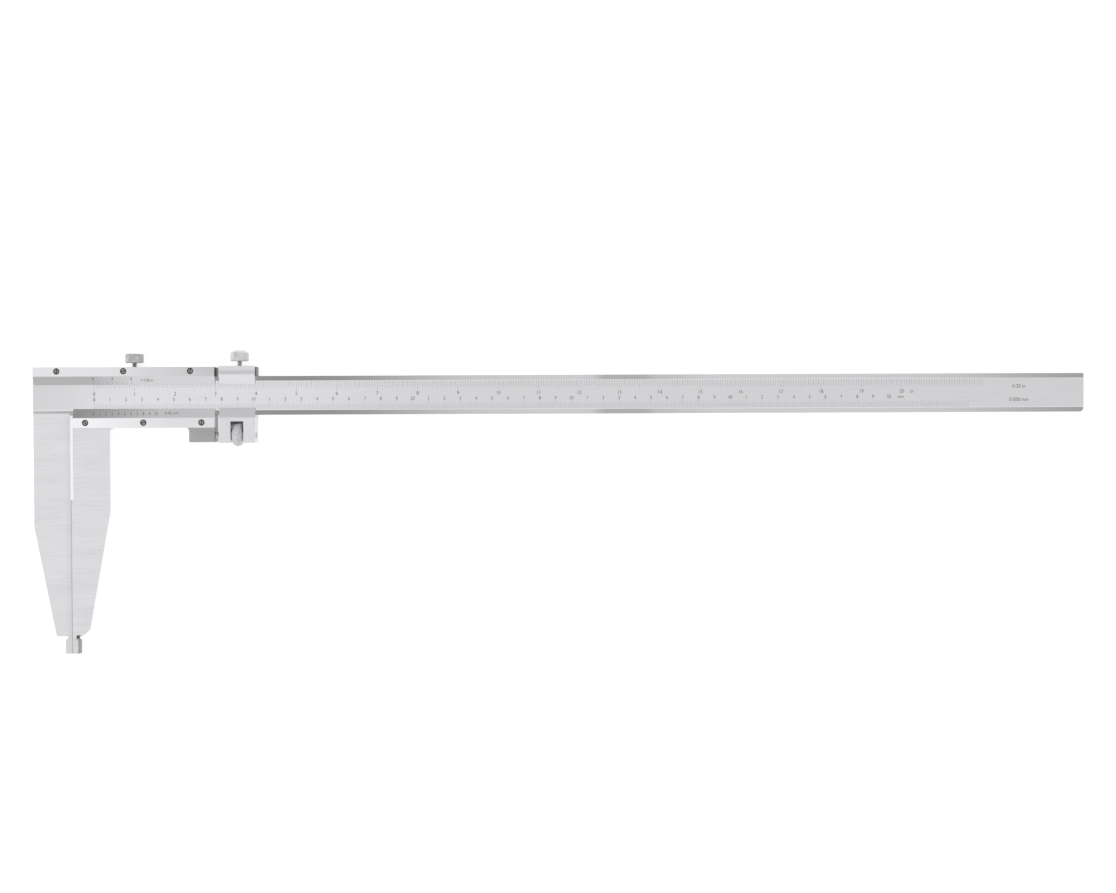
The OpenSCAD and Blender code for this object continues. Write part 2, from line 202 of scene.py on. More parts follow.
# Ground beam: long fine lines, painted highlights along the band edges and polished bevelled bands.
# The bands are a little darker along one stretch near the middle, a painted dimmer reflection, and the flat
# is brighter under the slider.
bandTop = beamHigh.y - 3 * mm
bandFoot = beamLow.y + 3 * mm
flatFinish = {"roughness": 0.33, "roughSpread": 0.1}
bandFinish = {"roughness": 0.12, "roughSpread": 0.05}
edgeHighlightFinish = {"roughness": 0.2, "roughSpread": 0.05}
upperBand = (bandTop, far, 0.05)
lowerBand = (-far, bandFoot, 0.05)
paintedDimReflection = (zeroPlaneX + 334 * mm, zeroPlaneX + 388 * mm, 14)
paintedDimmestReflection = (zeroPlaneX + 332 * mm, zeroPlaneX + 365 * mm, 4)
beamLook = {"lines": (14, 2600, 2600), "clouds": (9, 60, 60), "scratches": (60, 900, 900),
            "tone": 0.72, "spread": 0.05, "roughness": 0.33, "roughSpread": 0.10,
            "scratchDepth": 0.25, "bump": 0.12,
            "patches": [
                stretch(flatFinish, 0.66, X=(-far, zeroPlaneX - 2 * mm, 16)),
                stretch(flatFinish, 0.755, X=(zeroPlaneX + 22 * mm, zeroPlaneX + 175 * mm, 22)),
                stretch(bandFinish, 0.66, Y=upperBand),
                stretch(bandFinish, 0.66, Y=lowerBand),
                # painted reflection: the bands are darker along one stretch near the middle, darkest in its
                # first part
                stretch(bandFinish, 0.57, X=paintedDimReflection, Y=upperBand),
                stretch(bandFinish, 0.57, X=paintedDimReflection, Y=lowerBand),
                stretch(bandFinish, 0.47, X=paintedDimmestReflection, Y=upperBand),
                stretch(bandFinish, 0.47, X=paintedDimmestReflection, Y=lowerBand),
                # painted highlights: bright lines along the inner edges of both bands
                stretch(edgeHighlightFinish, 0.84, Y=(bandTop - 0.35 * mm, bandTop, 0.1)),
                stretch(edgeHighlightFinish, 0.84, Y=(bandFoot, bandFoot + 0.35 * mm, 0.1))]}

# Brushed jaws, with smoother nibs, and painted shade: dark lines where the two jaws meet, and a soft
# darkening of the fixed jaw beside its line
jawLook = {"lines": (45, 2300, 2300), "clouds": (30, 90, 90), "scratches": (90, 1300, 1300),
           "tone": 0.72, "spread": 0.12, "roughness": 0.34, "roughSpread": 0.16,
           "scratchDepth": 0.3, "bump": 0.22}
jawFinish = {"roughness": 0.34, "roughSpread": 0.16}
nibFinish = {"roughness": 0.25, "roughSpread": 0.1}
endFinish = {"roughness": 0.35, "roughSpread": 0.1}
nibs = (-far, jawsLow.y + 10.2 * mm, 0.05)
fixedJawLook = {**jawLook, "patches": [
    stretch(nibFinish, 0.66, Y=nibs),
    # painted shade: the fixed jaw darkens softly towards the line where the jaws meet
    stretch(jawFinish, 0.67, X=(zeroPlaneX - 2.6 * mm, far, 1.6)),
    # painted shade: a dark line along the measuring face where the jaws meet
    stretch(endFinish, 0.5, X=(zeroPlaneX - 0.4 * mm, far, 0.15))]}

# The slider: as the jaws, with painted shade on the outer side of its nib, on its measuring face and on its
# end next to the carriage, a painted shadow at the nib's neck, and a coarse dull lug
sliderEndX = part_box("slider_body")[1].x
lugFinish = {"spread": 0.35, "roughness": 0.42, "roughSpread": 0.3}
sliderLook = {**jawLook, "patches": [
    stretch(nibFinish, 0.66, Y=nibs),
    # painted shade: the measuring face and its eased edge are dark where the jaws meet
    stretch(endFinish, 0.5, X=(-far, zeroPlaneX + 0.2 * mm, 0.1)),
    # painted shade on the outer side of the nib, which turns away from the light
    stretch(endFinish, 0.34, X=(zeroPlaneX + 3.6 * mm, far, 0.15), Y=nibs),
    # painted shadow: a near-black spot at the nib's neck
    stretch(endFinish, 0.08, X=(zeroPlaneX + 2.6 * mm, zeroPlaneX + 5.2 * mm, 0.3),
            Y=(jawsLow.y + 9.2 * mm, jawsLow.y + 11.6 * mm, 0.3)),
    # painted shade: the end that faces the carriage across a narrow gap
    stretch(endFinish, 0.34, X=(sliderEndX - 0.15 * mm, far, 0.02)),
    stretch(lugFinish, 0.42, X=(sliderEndX - 17.3 * mm, far, 0.05), Y=(-far, beamLow.y - 8 * mm, 0.05))]}

# The carriage is brushed across the beam; painted shade darkens its top towards the bevel
carriageFinish = {"roughness": 0.34, "roughSpread": 0.1}
carriageTop = beamHigh.y + 1.0 * mm
carriageLook = {**jawLook, "lines": (900, 60, 900), "tone": 0.735, "spread": 0.04, "bump": 0.15,
                "patches": [
                    stretch(carriageFinish, 0.72, Y=(carriageTop, far, 0.05)),
                    # painted shade: a darker strip where the top turns towards its bevel
                    stretch(carriageFinish, 0.56, Y=(carriageTop, carriageTop + 2.4 * mm, 1.0)),
                    stretch(carriageFinish, 0.78, Y=(beamHigh.y - 8 * mm, carriageTop, 0.05)),
                    stretch(carriageFinish, 0.66, Y=(beamLow.y - 1.9 * mm, beamLow.y + 12 * mm, 0.05))]}

# Satin vernier plates, with painted shade: their bevels are darker than their flats, most of all near the
# jaws, and their flats darken away from the jaws
plateLook = {"lines": (30, 1900, 1900), "clouds": (20, 120, 120), "scratches": (80, 1600, 1600),
             "tone": 0.76, "spread": 0.03, "roughness": 0.30, "roughSpread": 0.08,
             "scratchDepth": 0.2, "bump": 0.10}
plateFinish = {"roughness": 0.30, "roughSpread": 0.08}
upperBevel = (-far, beamHigh.y, 0.05)
upperFlat = (beamHigh.y + 0.05 * mm, far, 0.05)
lowerBevel = (beamLow.y - 1.6 * mm, far, 0.05)
upperPlateLook = {**plateLook, "patches": [
    # painted shade: the bevel is darker than the flat, most of all near the jaws
    stretch(plateFinish, 0.68, Y=upperBevel),
    stretch(plateFinish, 0.48, X=(-far, zeroPlaneX + 27 * mm, 13), Y=upperBevel),
    # painted shade: the flat darkens away from the jaws
    stretch(plateFinish, 0.54, X=(zeroPlaneX + 62 * mm, far, 38), Y=upperFlat)]}
lowerPlateLook = {**plateLook, "tone": 0.88, "patches": [
    # painted shade: the flat darkens away from the jaws
    stretch(plateFinish, 0.75, X=(zeroPlaneX + 40 * mm, far, 22)),
    # painted shade: the bevel is darker than the flat, most of all near the jaws
    stretch(plateFinish, 0.66, Y=lowerBevel),
    stretch(plateFinish, 0.36, X=(-far, zeroPlaneX + 30 * mm, 24), Y=lowerBevel)]}

# Small parts
knurlLook = {"lines": (800, 800, 800), "clouds": (420, 420, 420), "scratches": (900, 900, 900),
             "tone": 0.55, "spread": 0.42, "roughness": 0.34, "roughSpread": 0.2,
             "scratchDepth": 0.2, "bump": 0.15}
threadLook = {**knurlLook, "tone": 0.74, "spread": 0.1, "roughness": 0.26}
springLook = {"lines": (60, 1500, 1500), "clouds": (120, 200, 200), "scratches": (300, 900, 900),
              "tone": 0.16, "spread": 0.15, "roughness": 0.35, "roughSpread": 0.15,
              "scratchDepth": 0.2, "bump": 0.12}
screwLook = {"lines": (1500, 1500, 400), "clouds": (700, 700, 700), "scratches": (900, 900, 900),
             "tone": 0.27, "spread": 0.55, "roughness": 0.32, "roughSpread": 0.2,
             "scratchDepth": 0.3, "bump": 0.2}
pinLook = {**threadLook, "tone": 0.5}
sinkLook = {**screwLook, "tone": 0.07}  # the oily shadowed wall of a countersink
lappedLook = {**plateLook, "tone": 0.92, "spread": 0.02, "roughness": 0.12}

materials = {
    "ground_steel": steelMaterial("groundSteel", beamLook),
    "brushed_steel": steelMaterial("brushedSteel", fixedJawLook),
    "satin_steel": steelMaterial("satinSteel", upperPlateLook),
    "knurled_steel": steelMaterial("knurledSteel", knurlLook),
    "thread_steel": steelMaterial("threadSteel", threadLook),
    "spring_steel": steelMaterial("springSteel", springLook),
    "pin_steel": steelMaterial("pinSteel", pinLook),
    "screw_steel": steelMaterial("screwSteel", screwLook),
}
sliderSteel = steelMaterial("sliderSteel", sliderLook)
carriageSteel = steelMaterial("carriageSteel", carriageLook)
lowerPlateSteel = steelMaterial("lowerPlateSteel", lowerPlateLook)
sinkSteel = steelMaterial("sinkSteel", sinkLook)
lappedSteel = steelMaterial("lappedSteel", lappedLook)
brightKnurl = steelMaterial("brightKnurl", {**knurlLook, "tone": 0.69, "spread": 0.3})
nutKnurl = steelMaterial("nutKnurl", {**knurlLook, "tone": 0.63})


# Ink that fills the engraved lines: nearly black, a little worn and uneven.
def inkMaterial():
    kit = MaterialKit(bpy.data.materials.new("engravedInk"))
    wear = kit.grain((900, 900, 900), 3.0)
    color = kit.mix(wear.ramp(0.35, 0.75), grey(0.06), grey(0.17))
    return kit.set(color=color, roughness=0.45 + wear * 0.3, metallic=0.0)


ink = inkMaterial()
print("materials made:", len(bpy.data.materials))


# A new smooth-shaded object with sharp edges above an angle
def newObject(name, verts, faces, material, smoothAngle=35):
    mesh = bpy.data.meshes.new(name)
    mesh.from_pydata(np.asarray(verts).tolist(), [], faces)
    mesh.update()
    mesh.shade_smooth()
    mesh.set_sharp_from_angle(angle=radians(smoothAngle))
    mesh.materials.append(material)
    piece = bpy.data.objects.new(name, mesh)
    bpy.context.scene.collection.objects.link(piece)
    return piece


# Vertices closer than "merge" are one, facets within "flat" degrees make one face, edges of more
# than "sharp" degrees are eased, and only faces narrower than "narrow" can belong to a round one.
easing = {"merge": 0.0005, "flat": 0.6, "sharp": 20, "narrow": 1.2, "segments": 2}


# A copy of a CAD node with its loose triangles joined, flat faces made whole and every sharp
# outward edge eased by a small rounded bevel. The shape, place and size stay those of the node.
# Wide plane faces are shaded flat, and the narrow facets of round faces smooth.
# "choose" names the faces that take a second material.
def easedCopy(node, name, body, slot, ease, material=None, second=None, choose=None):
    sharp = radians(easing["sharp"])
    flat = radians(easing["flat"])
    work = bmesh.new()
    work.from_mesh(nodes[node].data)
    bmesh.ops.remove_doubles(work, verts=work.verts, dist=easing["merge"] * mm)
    bmesh.ops.dissolve_limit(work, angle_limit=flat, verts=work.verts, edges=work.edges)
    bmesh.ops.recalc_face_normals(work, faces=work.faces)
    weight = work.edges.layers.float.new("bevel_weight_edge")
    for edge in work.edges:
        edge[weight] = float(edge.calc_face_angle_signed(0) > sharp)
    for face in work.faces:
        width = face.calc_area() / max(edge.calc_length() for edge in face.edges)
        turns = [edge.calc_face_angle(0) for edge in face.edges]
        narrow = width < easing["narrow"] * mm
        face.smooth = narrow and any(radians(1) < turn < sharp for turn in turns)
        face.material_index = int(choose is not None and choose(face))
    mesh = bpy.data.meshes.new(name)
    work.to_mesh(mesh)
    work.free()
    mesh.set_sharp_from_angle(angle=sharp)
    mesh.materials.append(material or materials[slot])
    if second:
        mesh.materials.append(second)
    piece = bpy.data.objects.new(name, mesh)
    bpy.context.scene.collection.objects.link(piece)
    bevel = piece.modifiers.new("ease", "BEVEL")
    bevel.width = ease * mm
    bevel.segments = easing["segments"]
    bevel.limit_method = "WEIGHT"
    bevel.use_clamp_overlap = False
    settle(piece, body, slot, node)
    return piece


# Says which body a piece rides on and which CAD nodes it replaces; the slot argument is not used
def settle(piece, body, slot, *replaced):
    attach(piece, body)
    if replaced:
        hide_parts(*replaced)


# The jaws' long narrow sides are lapped bright, from the beam down to the nibs. The measuring
# faces, which touch, keep the common finish.
def isLapped(face):
    middle = face.calc_center_median()
    onJaws = jawsLow.y + 11 * mm < middle.y < beamLow.y and middle.x < zeroPlaneX + 30 * mm
    touching = abs(middle.x - zeroPlaneX) < 0.2 * mm
    return abs(face.normal.x) > 0.8 and onJaws and not touching


# The two walls that face each other across the carriage's window
def isWindowWall(face):
    low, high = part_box("carriage_body")
    middle = face.calc_center_median()
    inside = low.x + 2 * mm < middle.x < high.x - 2 * mm and middle.y < beamLow.y
    return abs(face.normal.x) > 0.8 and inside


# The cone walls around the plate screws: small faces that slope
def isSink(face):
    aside = abs(face.normal.x) + abs(face.normal.y)
    return 0.2 < face.normal.z < 0.85 and aside > 0.5 and face.calc_area() < mm * mm


easedCopy("beam", "beamBar", "beam", "ground_steel", 0.12)
easedCopy("fixed_jaw", "fixedJaw", "beam", "brushed_steel", 0.14, None, lappedSteel, isLapped)
easedCopy("slider_body", "sliderBody", "slider", "brushed_steel", 0.15, sliderSteel,
          lappedSteel, isLapped)
easedCopy("upper_vernier_plate", "upperVernierPlate", "slider", "satin_steel", 0.08, None,
          sinkSteel, isSink)
easedCopy("lower_vernier_plate", "lowerVernierPlate", "slider", "satin_steel", 0.08, lowerPlateSteel,
          sinkSteel, isSink)
easedCopy("slider_gib_spring", "sliderGibSpring", "slider", "spring_steel", 0.06)
easedCopy("carriage_gib_spring", "carriageGibSpring", "carriage", "spring_steel", 0.06)
easedCopy("carriage_body", "carriageBody", "carriage", "brushed_steel", 0.15, carriageSteel,
          lappedSteel, isWindowWall)
for node, slot in (("jaw_dowels", "pin_steel"), ("rod_lock_screw", "screw_steel")):
    nodes[node].data.materials.clear()
    nodes[node].data.materials.append(materials[slot])
print("steel bodies eased")


# A triangle wave that goes 0, 1, 0 once for each whole step of x
def triangleWave(x):
    return 1 - abs(2 * (x - np.floor(x)) - 1)


# A turned surface. profile rows are (radius, height), and each row's radius loses
# relief(turn, row), where turn runs from 0 to 1. A point on the axis closes each end.
def turned(profile, columns, relief=None):
    profile = np.asarray(profile, float)
    turn = np.arange(columns) / columns
    radius = np.repeat(profile[:, :1], columns, axis=1)
    if relief is not None:
        radius = radius - relief(turn[None, :], profile)
    height = np.repeat(profile[:, 1:], columns, axis=1)
    grid = np.stack([radius * np.cos(2 * pi * turn), radius * np.sin(2 * pi * turn), height], axis=2)
    verts = grid.reshape(-1, 3)
    rows = len(profile)
    here = np.arange(columns)
    after = (here + 1) % columns
    base = (np.arange(rows - 1) * columns)[:, None]
    quads = np.stack([base + here, base + after, base + columns + after, base + columns + here], axis=2)
    faces = quads.reshape(-1, 4).tolist()
    bottom, top = len(verts), len(verts) + 1
    verts = np.vstack([verts, [0, 0, profile[0, 1]], [0, 0, profile[-1, 1]]])
    last = (rows - 1) * columns
    faces += np.stack([after, here, np.full(columns, bottom)], axis=1).tolist()
    faces += np.stack([last + here, last + after, np.full(columns, top)], axis=1).tolist()
    return verts, faces


# A ring with a hole: the profile is a closed loop, so its last row joins its first
def turnedRing(profile, columns, relief=None):
    profile = np.asarray(profile, float)
    turn = np.arange(columns) / columns
    radius = np.repeat(profile[:, :1], columns, axis=1)
    if relief is not None:
        radius = radius - relief(turn[None, :], profile)
    height = np.repeat(profile[:, 1:], columns, axis=1)
    grid = np.stack([radius * np.cos(2 * pi * turn), radius * np.sin(2 * pi * turn), height], axis=2)
    rows = len(profile)
    here = np.arange(columns)
    after = (here + 1) % columns
    base = (np.arange(rows) * columns)[:, None]
    above = ((np.arange(rows) + 1) % rows * columns)[:, None]
    quads = np.stack([base + here, base + after, above + after, above + here], axis=2)
    return grid.reshape(-1, 3), quads.reshape(-1, 4).tolist()


# Turns a shape whose axis is Z so that the axis is X or Y, and moves it to a place
def onAxis(verts, axis, place):
    order = {"X": (2, 0, 1), "Y": (1, 2, 0)}[axis]
    return verts[:, order] + np.asarray(place)


# Puts several shells into one list of vertices and faces
def joinShells(*shells):
    verts, faces, start = [], [], 0
    for points, polygons in shells:
        verts.append(points)
        faces += [[i + start for i in face] for face in polygons]
        start += len(points)
    return np.vstack(verts), faces


# A screw thread on a rod: the radius loses depth times a triangle wave that climbs one pitch
# per turn, and fades out over the first and last pitch.
def threadedRod(radius, low, high, pitch, depth, columns=36, perPitch=7):
    rows = int((high - low) / pitch * perPitch)
    height = np.linspace(low, high, rows)
    profile = np.stack([np.full(rows, radius), height], axis=1)
    profile[0, 0] = profile[-1, 0] = radius - depth

    def relief(turn, rowsOf):
        climb = triangleWave(rowsOf[:, 1:] / pitch - turn)
        fade = np.clip(np.minimum(rowsOf[:, 1:] - low, high - rowsOf[:, 1:]) / pitch, 0, 1)
        return depth * climb * fade
    return turned(profile, columns, relief)


# Plate screws: the CAD heads drawn in towards their own axes near the top, so that a dark ring
# shows in the countersink. The factor falls from 1 at the cone's middle to "draw" at its top.
plateScrew = {"draw": 0.74, "sunk": 0.08, "reach": 0.55}


def makePlateScrews(node, name):
    low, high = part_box(node)

    # the cone's wall and the driver slot are dark: painted shadow inside these recesses
    def isSunk(face):
        return face.calc_center_median().z < high.z - 0.03 * mm
    piece = easedCopy(node, name, "slider", "screw_steel", 0.03, None, sinkSteel, isSunk)
    mesh = piece.data
    points = np.zeros(len(mesh.vertices) * 3)
    mesh.vertices.foreach_get("co", points)
    points = points.reshape(-1, 3)
    head = (high.y - low.y) / 2
    axes = np.linspace(low.x + head, high.x - head, 3)
    nearest = axes[np.abs(points[:, :1] - axes).argmin(axis=1)]
    centre = np.stack([nearest, np.full(len(points), (low.y + high.y) / 2)], axis=1)
    share = np.clip(1 - (high.z - points[:, 2]) / (plateScrew["reach"] * mm), 0, 1)
    factor = 1 - (1 - plateScrew["draw"]) * share
    points[:, :2] = centre + (points[:, :2] - centre) * factor[:, None]
    points[:, 2] -= share * plateScrew["sunk"] * mm
    mesh.vertices.foreach_set("co", points.ravel())
    mesh.update()


makePlateScrews("upper_plate_screws", "upperPlateScrews")
makePlateScrews("lower_plate_screws", "lowerPlateScrews")

# Clamp screws: a threaded stem and a straight-knurled head with chamfered rims. The head's
# radius loses depth times a triangle wave of the angle between the two chamfers. A domed head
# rises by dome * (1 - s^3) at a share s of its radius, and a flat one has a shallow turned dish.
clampScrew = {"pitch": 0.5, "threadDepth": 0.22, "knurlTeeth": 54, "knurlDepth": 0.22,
              "chamfer": 0.55, "stemRadius": 1.5, "collarRadius": 1.89, "dish": 0.15}


def makeClampScrew(node, name, body, headHeight, dome, knurled):
    low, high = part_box(node)
    place = ((low.x + high.x) / 2, 0, (low.z + high.z) / 2)
    radius = (high.x - low.x) / 2
    top = high.y - dome
    under = top - headHeight
    c = {key: value * mm for key, value in clampScrew.items()}
    stem = threadedRod(c["stemRadius"], low.y, under + 0.3 * mm, c["pitch"], c["threadDepth"])
    knurlRows = np.linspace(under + c["chamfer"], top - c["chamfer"], 12)
    crown = radius - c["chamfer"]
    profile = [(c["collarRadius"], under - 0.02 * mm)]
    profile += [(crown - 0.5 * mm, under), (crown, under + 0.02 * mm)]
    profile += [(radius, h) for h in knurlRows]
    profile += [(crown, top)]
    if dome > 0:
        profile += [(crown * s, top + dome * (1 - s ** 3)) for s in np.linspace(0.97, 0.04, 14)]
    else:
        dish = top - c["dish"]
        profile += [(crown * 0.80, top), (crown * 0.74, dish), (crown * 0.05, dish)]

    def relief(turn, rowsOf):
        height = rowsOf[:, 1:]
        inside = np.minimum(height - under - c["chamfer"] * 0.5, top - c["chamfer"] * 0.5 - height)
        strength = np.clip(inside / (0.35 * mm), 0, 1) * (rowsOf[:, :1] > crown)
        return c["knurlDepth"] * triangleWave(turn * clampScrew["knurlTeeth"]) * strength
    head = turned(profile, clampScrew["knurlTeeth"] * 6, relief)
    verts, faces = joinShells(stem, head)
    piece = newObject(name, onAxis(verts, "Y", place), faces, knurled, 50)
    settle(piece, body, "knurled_steel", node)


makeClampScrew("slider_clamp_screw", "sliderClampScrew", "slider_clamp", 5.8 * mm, 0,
               materials["knurled_steel"])
makeClampScrew("carriage_clamp_screw", "carriageClampScrew", "carriage_clamp", 5.6 * mm, 1.6 * mm,
               brightKnurl)

# The adjusting nut: a crowned ring with a diamond knurl. The knurl is the larger of two
# triangle waves that climb opposite ways across the rim.
nutShape = {"crown": 3.6, "rimWidth": 6.4, "hub": 3.4, "bore": 2.05,
            "knurlTeeth": 60, "knurlDepth": 0.25, "lean": 0.35}


def makeNut():
    low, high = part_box("adjusting_nut")
    middle = (low + high) / 2
    hubHalf = (high.x - low.x) / 2
    half = nutShape["rimWidth"] * mm / 2
    radius = (high.z - low.z) / 2
    crown = nutShape["crown"] * mm
    reach = np.arcsin(half / crown)
    swing = np.linspace(-reach, reach, 40)
    rim = np.stack([radius - crown + crown * np.cos(swing), crown * np.sin(swing)], axis=1)
    bore, hub = nutShape["bore"] * mm, nutShape["hub"] * mm
    edge = rim[0, 0]
    side = [(edge - 0.2 * mm, half), (hub + 0.15 * mm, half), (hub, half + 0.15 * mm),
            (hub, hubHalf - 0.2 * mm), (hub - 0.2 * mm, hubHalf), (bore + 0.4 * mm, hubHalf),
            (bore, hubHalf - 0.4 * mm)]
    otherSide = [(r, -h) for r, h in side[::-1]]
    profile = np.vstack([rim, side, otherSide])

    def relief(turn, rowsOf):
        teeth = nutShape["knurlTeeth"]
        lean = rowsOf[:, 1:] / mm * nutShape["lean"]
        groove = np.maximum(triangleWave(turn * teeth + lean), triangleWave(turn * teeth - lean))
        inside = np.clip((half - np.abs(rowsOf[:, 1:])) / (0.6 * mm), 0, 1)
        return nutShape["knurlDepth"] * mm * groove * inside * (rowsOf[:, :1] > edge)
    verts, faces = turnedRing(profile, nutShape["knurlTeeth"] * 6, relief)
    piece = newObject("adjustingNut", onAxis(verts, "X", middle), faces, nutKnurl, 60)
    settle(piece, "nut", "knurled_steel", "adjusting_nut")


# The adjusting rod: one thread from end to end
def makeRod():
    low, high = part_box("adjusting_rod")
    middle = (low + high) / 2
    verts, faces = threadedRod((high.z - low.z) / 2, low.x - middle.x, high.x - middle.x, 0.5 * mm, 0.24 * mm)
    piece = newObject("adjustingRod", onAxis(verts, "X", middle), faces, materials["thread_steel"], 50)
    settle(piece, "slider", "thread_steel", "adjusting_rod")


makeNut()
makeRod()
print("screws, nut and rod turned")


# Thin bars lying on a plane. Each row of bars is (across, start, end, width) in the plane's own
# directions: across along the beam, start and end up the plane.
def barShells(bars, lift):
    bars = np.asarray(bars, float)
    left, right = bars[:, 0] - bars[:, 3] / 2, bars[:, 0] + bars[:, 3] / 2
    corners = np.stack([
        np.stack([left, bars[:, 1]], 1), np.stack([right, bars[:, 1]], 1),
        np.stack([right, bars[:, 2]], 1), np.stack([left, bars[:, 2]], 1)], axis=1)
    flat = np.concatenate([corners, corners], axis=1)
    height = np.zeros((len(bars), 8, 1))
    height[:, 4:] = lift
    verts = np.concatenate([flat, height], axis=2).reshape(-1, 3)
    cube = np.array([(3, 2, 1, 0), (4, 5, 6, 7), (0, 1, 5, 4), (1, 2, 6, 5), (2, 3, 7, 6), (3, 0, 4, 7)])
    faces = (cube[None] + 8 * np.arange(len(bars))[:, None, None]).reshape(-1, 4).tolist()
    return verts, faces


glyphs = {}


# The mesh of a short text of unit height, centred on its own middle; made once for each text
def glyphShell(text):
    if text not in glyphs:
        curve = bpy.data.curves.new("glyph", "FONT")
        curve.body = text
        curve.align_x = "CENTER"
        curve.resolution_u = 3
        curve.extrude = 0.5
        holder = bpy.data.objects.new("glyph", curve)
        bpy.context.scene.collection.objects.link(holder)
        seen = holder.evaluated_get(bpy.context.evaluated_depsgraph_get())
        mesh = bpy.data.meshes.new_from_object(seen)
        verts = np.zeros(len(mesh.vertices) * 3)
        mesh.vertices.foreach_get("co", verts)
        verts = verts.reshape(-1, 3)
        faces = [list(p.vertices) for p in mesh.polygons]
        bpy.data.objects.remove(holder)
        bpy.data.curves.remove(curve)
        bpy.data.meshes.remove(mesh)
        # digits stand 0.7 of a unit high; the extrusion becomes 0 to 1 in height
        verts = (verts - [0, 0.35, -0.5]) / [0.7, 0.7, 1]
        glyphs[text] = (verts, faces)
    return glyphs[text]


# Puts labels (text, across, up, height) on a plane; side -1 turns them upright on a plane whose
# up direction points towards the reader
def labelShells(labels, lift, side=1):
    shells = []
    for text, across, up, size in labels:
        verts, faces = glyphShell(text)
        shells.append((verts * [size * 0.9, size * side, lift] + [across, up, 0], [f[::side] for f in faces]))
    return joinShells(*shells)


# Carries plane coordinates (across, up, lift) to the frame
def onPlane(verts, corner, up, out):
    frameAxes = np.array([(1, 0, 0), up, out])
    return verts @ frameAxes + np.asarray(corner)


# Bars and labels on one plane, as one piece
def makeMarks(name, body, bars, labels, corner, up, out, lift):
    verts, faces = joinShells(barShells(bars, lift), labelShells(labels, lift))
    piece = newObject(name, onPlane(verts, corner, up, out), faces, ink, 30)
    settle(piece, body, "screw_steel")


# The two main scales: heights are measured up the beam's face from its lower edge, and the tops
# are those of short, half and full divisions
mainScale = {"lift": 0.012, "line": 0.11, "fine": 0.075, "metricEnd": 550, "inchEnd": 22,
             "metricBase": 3.4, "metricTops": (6.7, 7.6, 8.6), "metricText": 10.1, "metricSize": 2.1,
             "inchBase": 21.2, "inchTops": (17.2, 16.4, 15.7), "inchText": 13.5, "inchSize": 2.3,
             "metricLast": 50, "inchLast": 20, "unitX": 507.5, "unitStep": 7,
             "rangeX": 582.0, "rangeSize": 2.3, "inchRangeY": 16.4, "metricRangeY": 8.0}


# A bar for each division and a label for each figure
def makeMainScale():
    s = mainScale
    bars, labels = [], []
    for k in range(s["metricEnd"] + 1):
        tall = s["metricTops"][2 if k % 10 == 0 else 1 if k % 5 == 0 else 0]
        bars.append((k, s["metricBase"], tall, s["fine"]))
    for k in range(s["inchEnd"] * 16 + 1):
        tall = s["inchTops"][2 if k % 16 == 0 else 1 if k % 8 == 0 else 0]
        bars.append((k * inch / 16, tall, s["inchBase"], s["line"]))
    bars.append((0, s["metricBase"], s["inchBase"], s["fine"]))
    for k in range(s["metricLast"] + 1):
        text = str(k) if k % 10 == 0 else str(k % 10)
        labels.append((text, k * 10, s["metricText"], s["metricSize"]))
    for k in range(s["inchLast"] + 1):
        labels.append((str(k), k * inch, s["inchText"], s["inchSize"]))
    labels.append(("mm", s["unitX"], s["metricText"], s["metricSize"]))
    labels.append(("in", s["unitX"] + s["unitStep"], s["inchText"], s["inchSize"]))
    labels.append(("0-20 in", s["rangeX"], s["inchRangeY"], s["rangeSize"]))
    labels.append(("0-500 mm", s["rangeX"], s["metricRangeY"], s["rangeSize"]))
    bars = np.asarray(bars) * mm
    labels = [(text, x * mm, y * mm, size * mm) for text, x, y, size in labels]
    corner = (scaleZeroX, beamLow.y, beamHigh.z)
    makeMarks("beamScale", "beam", bars, labels, corner, (0, 1, 0), (0, 0, 1), s["lift"] * mm)


makeMainScale()

# Each vernier lies on the slope of its plate; up the slope is away from the thin edge.
vernier = {"lift": 0.012, "line": 0.13, "edge": 0.3,
           "upper": {"node": "upper_vernier_plate", "name": "inchVernier", "side": 1, "bevel": 5.2,
                     "count": 8, "pitch": inch * 15 / 16 / 8, "every": 4, "label": 4, "tall": (1.7, 2.3),
                     "textUp": 4.1, "size": 1.9, "note": "1/128 in", "noteX": 33.6, "noteUp": 3.1},
           "lower": {"node": "lower_vernier_plate", "name": "millimetreVernier", "side": -1, "bevel": 5.7,
                     "count": 20, "pitch": 1.95, "every": 2, "label": 1, "tall": (1.3, 1.9),
                     "textUp": 3.4, "size": 1.9, "note": "0.05 mm", "noteX": 49.0, "noteUp": 2.9}}


# The slope's own directions come from its rise and run; bars and labels are then laid on it
def makeVernier(v):
    low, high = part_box(v["node"])
    tip = low.y if v["side"] > 0 else high.y
    rise = high.z - low.z - vernier["edge"] * mm
    run = v["bevel"] * mm
    length = (rise * rise + run * run) ** 0.5
    up = (0, v["side"] * run / length, rise / length)
    out = (0, -v["side"] * rise / length, run / length)
    bars, labels = [], []
    for k in range(v["count"] + 1):
        long = k % v["every"] == 0
        bars.append((k * v["pitch"], 0.05, v["tall"][1 if long else 0], vernier["line"]))
        if long:
            labels.append((str(k // v["every"] * v["label"]), k * v["pitch"], v["textUp"], v["size"]))
    labels.append((v["note"], v["noteX"], v["noteUp"], v["size"]))
    barVerts, barFaces = barShells(np.asarray(bars) * mm, vernier["lift"] * mm)
    verts, faces = joinShells(
        (barVerts, barFaces),
        labelShells([(t, x * mm, y * mm, s * mm) for t, x, y, s in labels], vernier["lift"] * mm, v["side"]))
    corner = (scaleZeroX, tip, low.z + vernier["edge"] * mm)
    verts = onPlane(verts, corner, up, out)
    if v["side"] < 0:
        faces = [face[::-1] for face in faces]
    piece = newObject(v["name"], verts, faces, ink, 30)
    settle(piece, "slider", "screw_steel")


makeVernier(vernier["upper"])
makeVernier(vernier["lower"])
print("scales engraved")


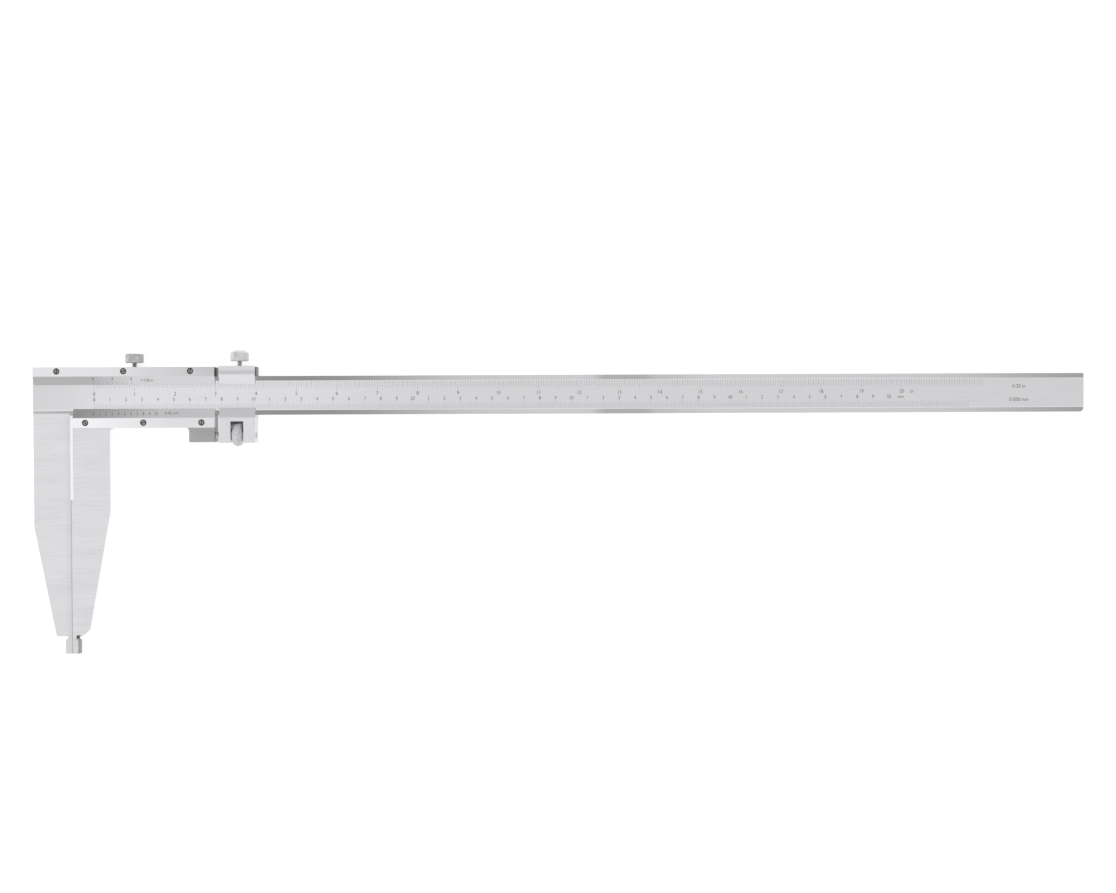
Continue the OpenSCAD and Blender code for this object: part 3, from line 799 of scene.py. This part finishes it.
studio = {"floorHalf": 150.0, "overhead": 0.92, "horizon": -0.12, "left": 0.18, "skyline": 1.1,
          "floorGlow": 0.78}


# A pale matt table lit from below, which leaves only a faint shadow
def floorMaterial():
    kit = MaterialKit(bpy.data.materials.new("paleFloor"))
    tone = kit.grain((6, 6, 6), 4.0)
    color = kit.mix(tone, grey(0.37), grey(0.40))
    return kit.set(color=color, roughness=0.9, metallic=0.0, emission=grey(1.0), glow=studio["floorGlow"])


# A flat square under the tool, level with its lowest point
def makeFloor():
    h = studio["floorHalf"]
    z = cadBox[0][2]
    corners = [(-h, -h, z), (h, -h, z), (h, h, z), (-h, h, z)]
    floor = newObject("floor", corners, [(0, 1, 2, 3)], floorMaterial())


# A soft white surround. Overhead it is even and a little brighter to the left; it darkens towards
# the horizon, and the skyline itself is white like the table. Two pairs of soft darker zones stand
# to both sides, as gaps between large panels do.
def makeSurround():
    world = bpy.data.worlds.new("surround")
    kit = MaterialKit(world)
    direction = kit.node("ShaderNodeTexCoord", {}, {}, "Generated")
    apart = kit.node("ShaderNodeSeparateXYZ", {}, [direction])
    x, y, z = (Sig(kit, out) for out in apart.socket.node.outputs)
    aside = y.math("ABSOLUTE")
    nearZone = aside.between(0.22, 0.46, 0.05)
    farZone = aside.ramp(0.46, 0.62) * (1 - aside.ramp(0.85, 0.95))
    nearDark = x.between(-0.30, -0.09, 0.04) * 0.62 + x.ramp(0.235, 0.30) * 0.44
    farDark = (0 - x).ramp(0.17, 0.27) * 0.35 + y.ramp(0.3, 0.6) * 0.22 - 0.12
    horizon = (1 - z.ramp(0.15, 0.5)) * studio["horizon"]
    left = (0 - x).ramp(0.08, 0.25) * studio["left"]
    level = studio["overhead"] + horizon + left - nearZone * nearDark - farZone * farDark
    low = 1 - z.ramp(0.04, 0.12)
    level = level * (1 - low) + low * studio["skyline"]
    background = world.node_tree.nodes["Background"]
    kit.put(background.inputs["Color"], grey(1.0))
    kit.put(background.inputs["Strength"], level)
    bpy.context.scene.world = world


makeFloor()
makeSurround()
bpy.context.scene.view_settings.view_transform = "Standard"

# The camera looks almost straight down on the middle of the tool, leaning and turned slightly.
view = {"place": (-0.00663, 0.05293, 1.05), "lean": -1.051, "swing": -0.318, "roll": -0.237, "lens": 53.34}


# The camera is placed, then turned about its own X, Y and Z axes
def makeCamera():
    camera = bpy.data.cameras.new("camera")
    camera.sensor_width = 36
    camera.lens = view["lens"]
    holder = bpy.data.objects.new("camera", camera)
    turn = (Matrix.Rotation(radians(view["lean"]), 4, "X") @ Matrix.Rotation(radians(view["swing"]), 4, "Y")
            @ Matrix.Rotation(radians(view["roll"]), 4, "Z"))
    holder.matrix_world = Matrix.Translation(view["place"]) @ turn
    bpy.context.scene.collection.objects.link(holder)
    bpy.context.scene.camera = holder


makeCamera()
print("studio ready")
